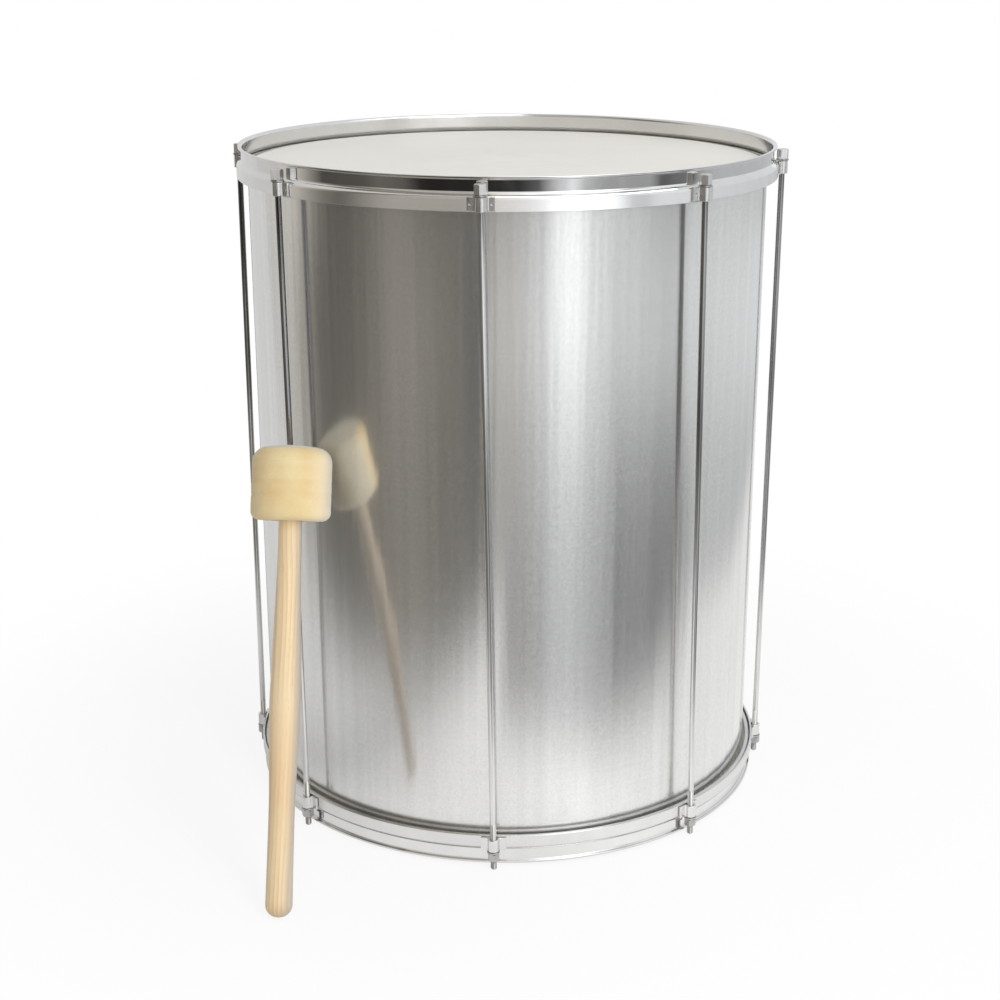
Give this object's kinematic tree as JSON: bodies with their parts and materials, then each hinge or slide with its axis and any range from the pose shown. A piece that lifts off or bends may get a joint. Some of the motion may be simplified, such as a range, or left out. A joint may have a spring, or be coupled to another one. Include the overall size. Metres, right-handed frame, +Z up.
{
  "type": "surdo drum",
  "caption": "Upright metal bass drum with a film head at each end, hoops drawn together by long threaded rods, and a soft-headed wooden beater leaning on its side.",
  "frame": {"origin": "centre of the lower head's outer face, on the drum's axis", "axes": "+Z up along the drum's axis, towards the head that is played; -Y towards the front, where the camera stands and the beater leans at the left; +X to the right"},
  "size_m": [0.54, 0.6281, 0.643],
  "materials": {
    "shell_aluminium": "sheet rolled to a tube and brushed round it",
    "flesh_hoop_aluminium": "mill finish",
    "hoop_chrome": "bright chrome on rolled steel",
    "ear_chrome": "bright chrome on bent steel strap",
    "head_film": "off-white film, slightly milky and matt",
    "rod_chrome": "bright chrome, threaded below",
    "plated_steel": "bright plated steel",
    "eyelet_chrome": "bright chrome",
    "handle_wood": "turned pale pine, thin clear varnish",
    "core_wood": "turned softwood, bare",
    "beater_felt": "cream wool felt, pressed and wound"
  },
  "bodies": {
    "drum": {"shell": "shell_aluminium", "vent_eyelet": "eyelet_chrome", "top_head": "head_film", "top_flesh_hoop": "flesh_hoop_aluminium", "top_hoop": "hoop_chrome", "top_ear_1": "ear_chrome", "top_ear_2": "ear_chrome", "top_ear_3": "ear_chrome", "top_ear_4": "ear_chrome", "top_ear_5": "ear_chrome", "top_ear_6": "ear_chrome", "top_ear_7": "ear_chrome", "top_ear_8": "ear_chrome", "bottom_head": "head_film", "bottom_flesh_hoop": "flesh_hoop_aluminium", "bottom_hoop": "hoop_chrome", "bottom_ear_1": "ear_chrome", "bottom_ear_2": "ear_chrome", "bottom_ear_3": "ear_chrome", "bottom_ear_4": "ear_chrome", "bottom_ear_5": "ear_chrome", "bottom_ear_6": "ear_chrome", "bottom_ear_7": "ear_chrome", "bottom_ear_8": "ear_chrome", "top_washer_1": "plated_steel", "bottom_washer_1": "plated_steel", "top_washer_2": "plated_steel", "bottom_washer_2": "plated_steel", "top_washer_3": "plated_steel", "bottom_washer_3": "plated_steel", "top_washer_4": "plated_steel", "bottom_washer_4": "plated_steel", "top_washer_5": "plated_steel", "bottom_washer_5": "plated_steel", "top_washer_6": "plated_steel", "bottom_washer_6": "plated_steel", "top_washer_7": "plated_steel", "bottom_washer_7": "plated_steel", "top_washer_8": "plated_steel", "bottom_washer_8": "plated_steel"},
    "rod_1": {"rod_1": "rod_chrome"},
    "rod_2": {"rod_2": "rod_chrome"},
    "rod_3": {"rod_3": "rod_chrome"},
    "rod_4": {"rod_4": "rod_chrome"},
    "rod_5": {"rod_5": "rod_chrome"},
    "rod_6": {"rod_6": "rod_chrome"},
    "rod_7": {"rod_7": "rod_chrome"},
    "rod_8": {"rod_8": "rod_chrome"},
    "nut_1": {"nut_1": "plated_steel"},
    "nut_2": {"nut_2": "plated_steel"},
    "nut_3": {"nut_3": "plated_steel"},
    "nut_4": {"nut_4": "plated_steel"},
    "nut_5": {"nut_5": "plated_steel"},
    "nut_6": {"nut_6": "plated_steel"},
    "nut_7": {"nut_7": "plated_steel"},
    "nut_8": {"nut_8": "plated_steel"},
    "beater": {"beater_handle": "handle_wood", "beater_core": "core_wood", "beater_cover": "beater_felt"}
  },
  "joints": [
    {"name": "rod_1_turn", "type": "hinge", "parent": "drum", "child": "rod_1", "pos_m": [-0.01266, -0.264, -0.02016], "axis": [-0.0155, 0.001, 0.9999], "range_deg": [0, 2880]},
    {"name": "rod_2_turn", "type": "hinge", "parent": "drum", "child": "rod_2", "pos_m": [0.17772, -0.19563, -0.02016], "axis": [-0.0117, -0.0102, 0.9999], "range_deg": [0, 2880]},
    {"name": "rod_3_turn", "type": "hinge", "parent": "drum", "child": "rod_3", "pos_m": [0.264, -0.01266, -0.02016], "axis": [-0.001, -0.0155, 0.9999], "range_deg": [0, 2880]},
    {"name": "rod_4_turn", "type": "hinge", "parent": "drum", "child": "rod_4", "pos_m": [0.19563, 0.17772, -0.02016], "axis": [0.0102, -0.0117, 0.9999], "range_deg": [0, 2880]},
    {"name": "rod_5_turn", "type": "hinge", "parent": "drum", "child": "rod_5", "pos_m": [0.01266, 0.264, -0.02016], "axis": [0.0155, -0.001, 0.9999], "range_deg": [0, 2880]},
    {"name": "rod_6_turn", "type": "hinge", "parent": "drum", "child": "rod_6", "pos_m": [-0.17772, 0.19563, -0.02016], "axis": [0.0117, 0.0102, 0.9999], "range_deg": [0, 2880]},
    {"name": "rod_7_turn", "type": "hinge", "parent": "drum", "child": "rod_7", "pos_m": [-0.264, 0.01266, -0.02016], "axis": [0.001, 0.0155, 0.9999], "range_deg": [0, 2880]},
    {"name": "rod_8_turn", "type": "hinge", "parent": "drum", "child": "rod_8", "pos_m": [-0.19563, -0.17772, -0.02016], "axis": [-0.0102, 0.0117, 0.9999], "range_deg": [0, 2880]},
    {"name": "nut_1_travel", "type": "slide", "parent": "drum", "child": "nut_1", "axis": [0.0155, -0.001, -0.9999], "range_m": [0, 0.0081]},
    {"name": "nut_2_travel", "type": "slide", "parent": "drum", "child": "nut_2", "axis": [0.0117, 0.0102, -0.9999], "range_m": [0, 0.0081]},
    {"name": "nut_3_travel", "type": "slide", "parent": "drum", "child": "nut_3", "axis": [0.001, 0.0155, -0.9999], "range_m": [0, 0.0081]},
    {"name": "nut_4_travel", "type": "slide", "parent": "drum", "child": "nut_4", "axis": [-0.0102, 0.0117, -0.9999], "range_m": [0, 0.0081]},
    {"name": "nut_5_travel", "type": "slide", "parent": "drum", "child": "nut_5", "axis": [-0.0155, 0.001, -0.9999], "range_m": [0, 0.0081]},
    {"name": "nut_6_travel", "type": "slide", "parent": "drum", "child": "nut_6", "axis": [-0.0117, -0.0102, -0.9999], "range_m": [0, 0.0081]},
    {"name": "nut_7_travel", "type": "slide", "parent": "drum", "child": "nut_7", "axis": [-0.001, -0.0155, -0.9999], "range_m": [0, 0.0081]},
    {"name": "nut_8_travel", "type": "slide", "parent": "drum", "child": "nut_8", "axis": [0.0102, -0.0117, -0.9999], "range_m": [0, 0.0081]},
    {"name": "beater_lift_off", "type": "slide", "parent": "drum", "child": "beater", "axis": [-0.0745, -0.9972, 0], "range_m": [0, 0.3]}
  ],
  "couplings": [
    {"joint": "nut_1_travel", "follows": "rod_1_turn", "m_per_rad": 0.00015915},
    {"joint": "nut_2_travel", "follows": "rod_2_turn", "m_per_rad": 0.00015915},
    {"joint": "nut_3_travel", "follows": "rod_3_turn", "m_per_rad": 0.00015915},
    {"joint": "nut_4_travel", "follows": "rod_4_turn", "m_per_rad": 0.00015915},
    {"joint": "nut_5_travel", "follows": "rod_5_turn", "m_per_rad": 0.00015915},
    {"joint": "nut_6_travel", "follows": "rod_6_turn", "m_per_rad": 0.00015915},
    {"joint": "nut_7_travel", "follows": "rod_7_turn", "m_per_rad": 0.00015915},
    {"joint": "nut_8_travel", "follows": "rod_8_turn", "m_per_rad": 0.00015915}
  ]
}
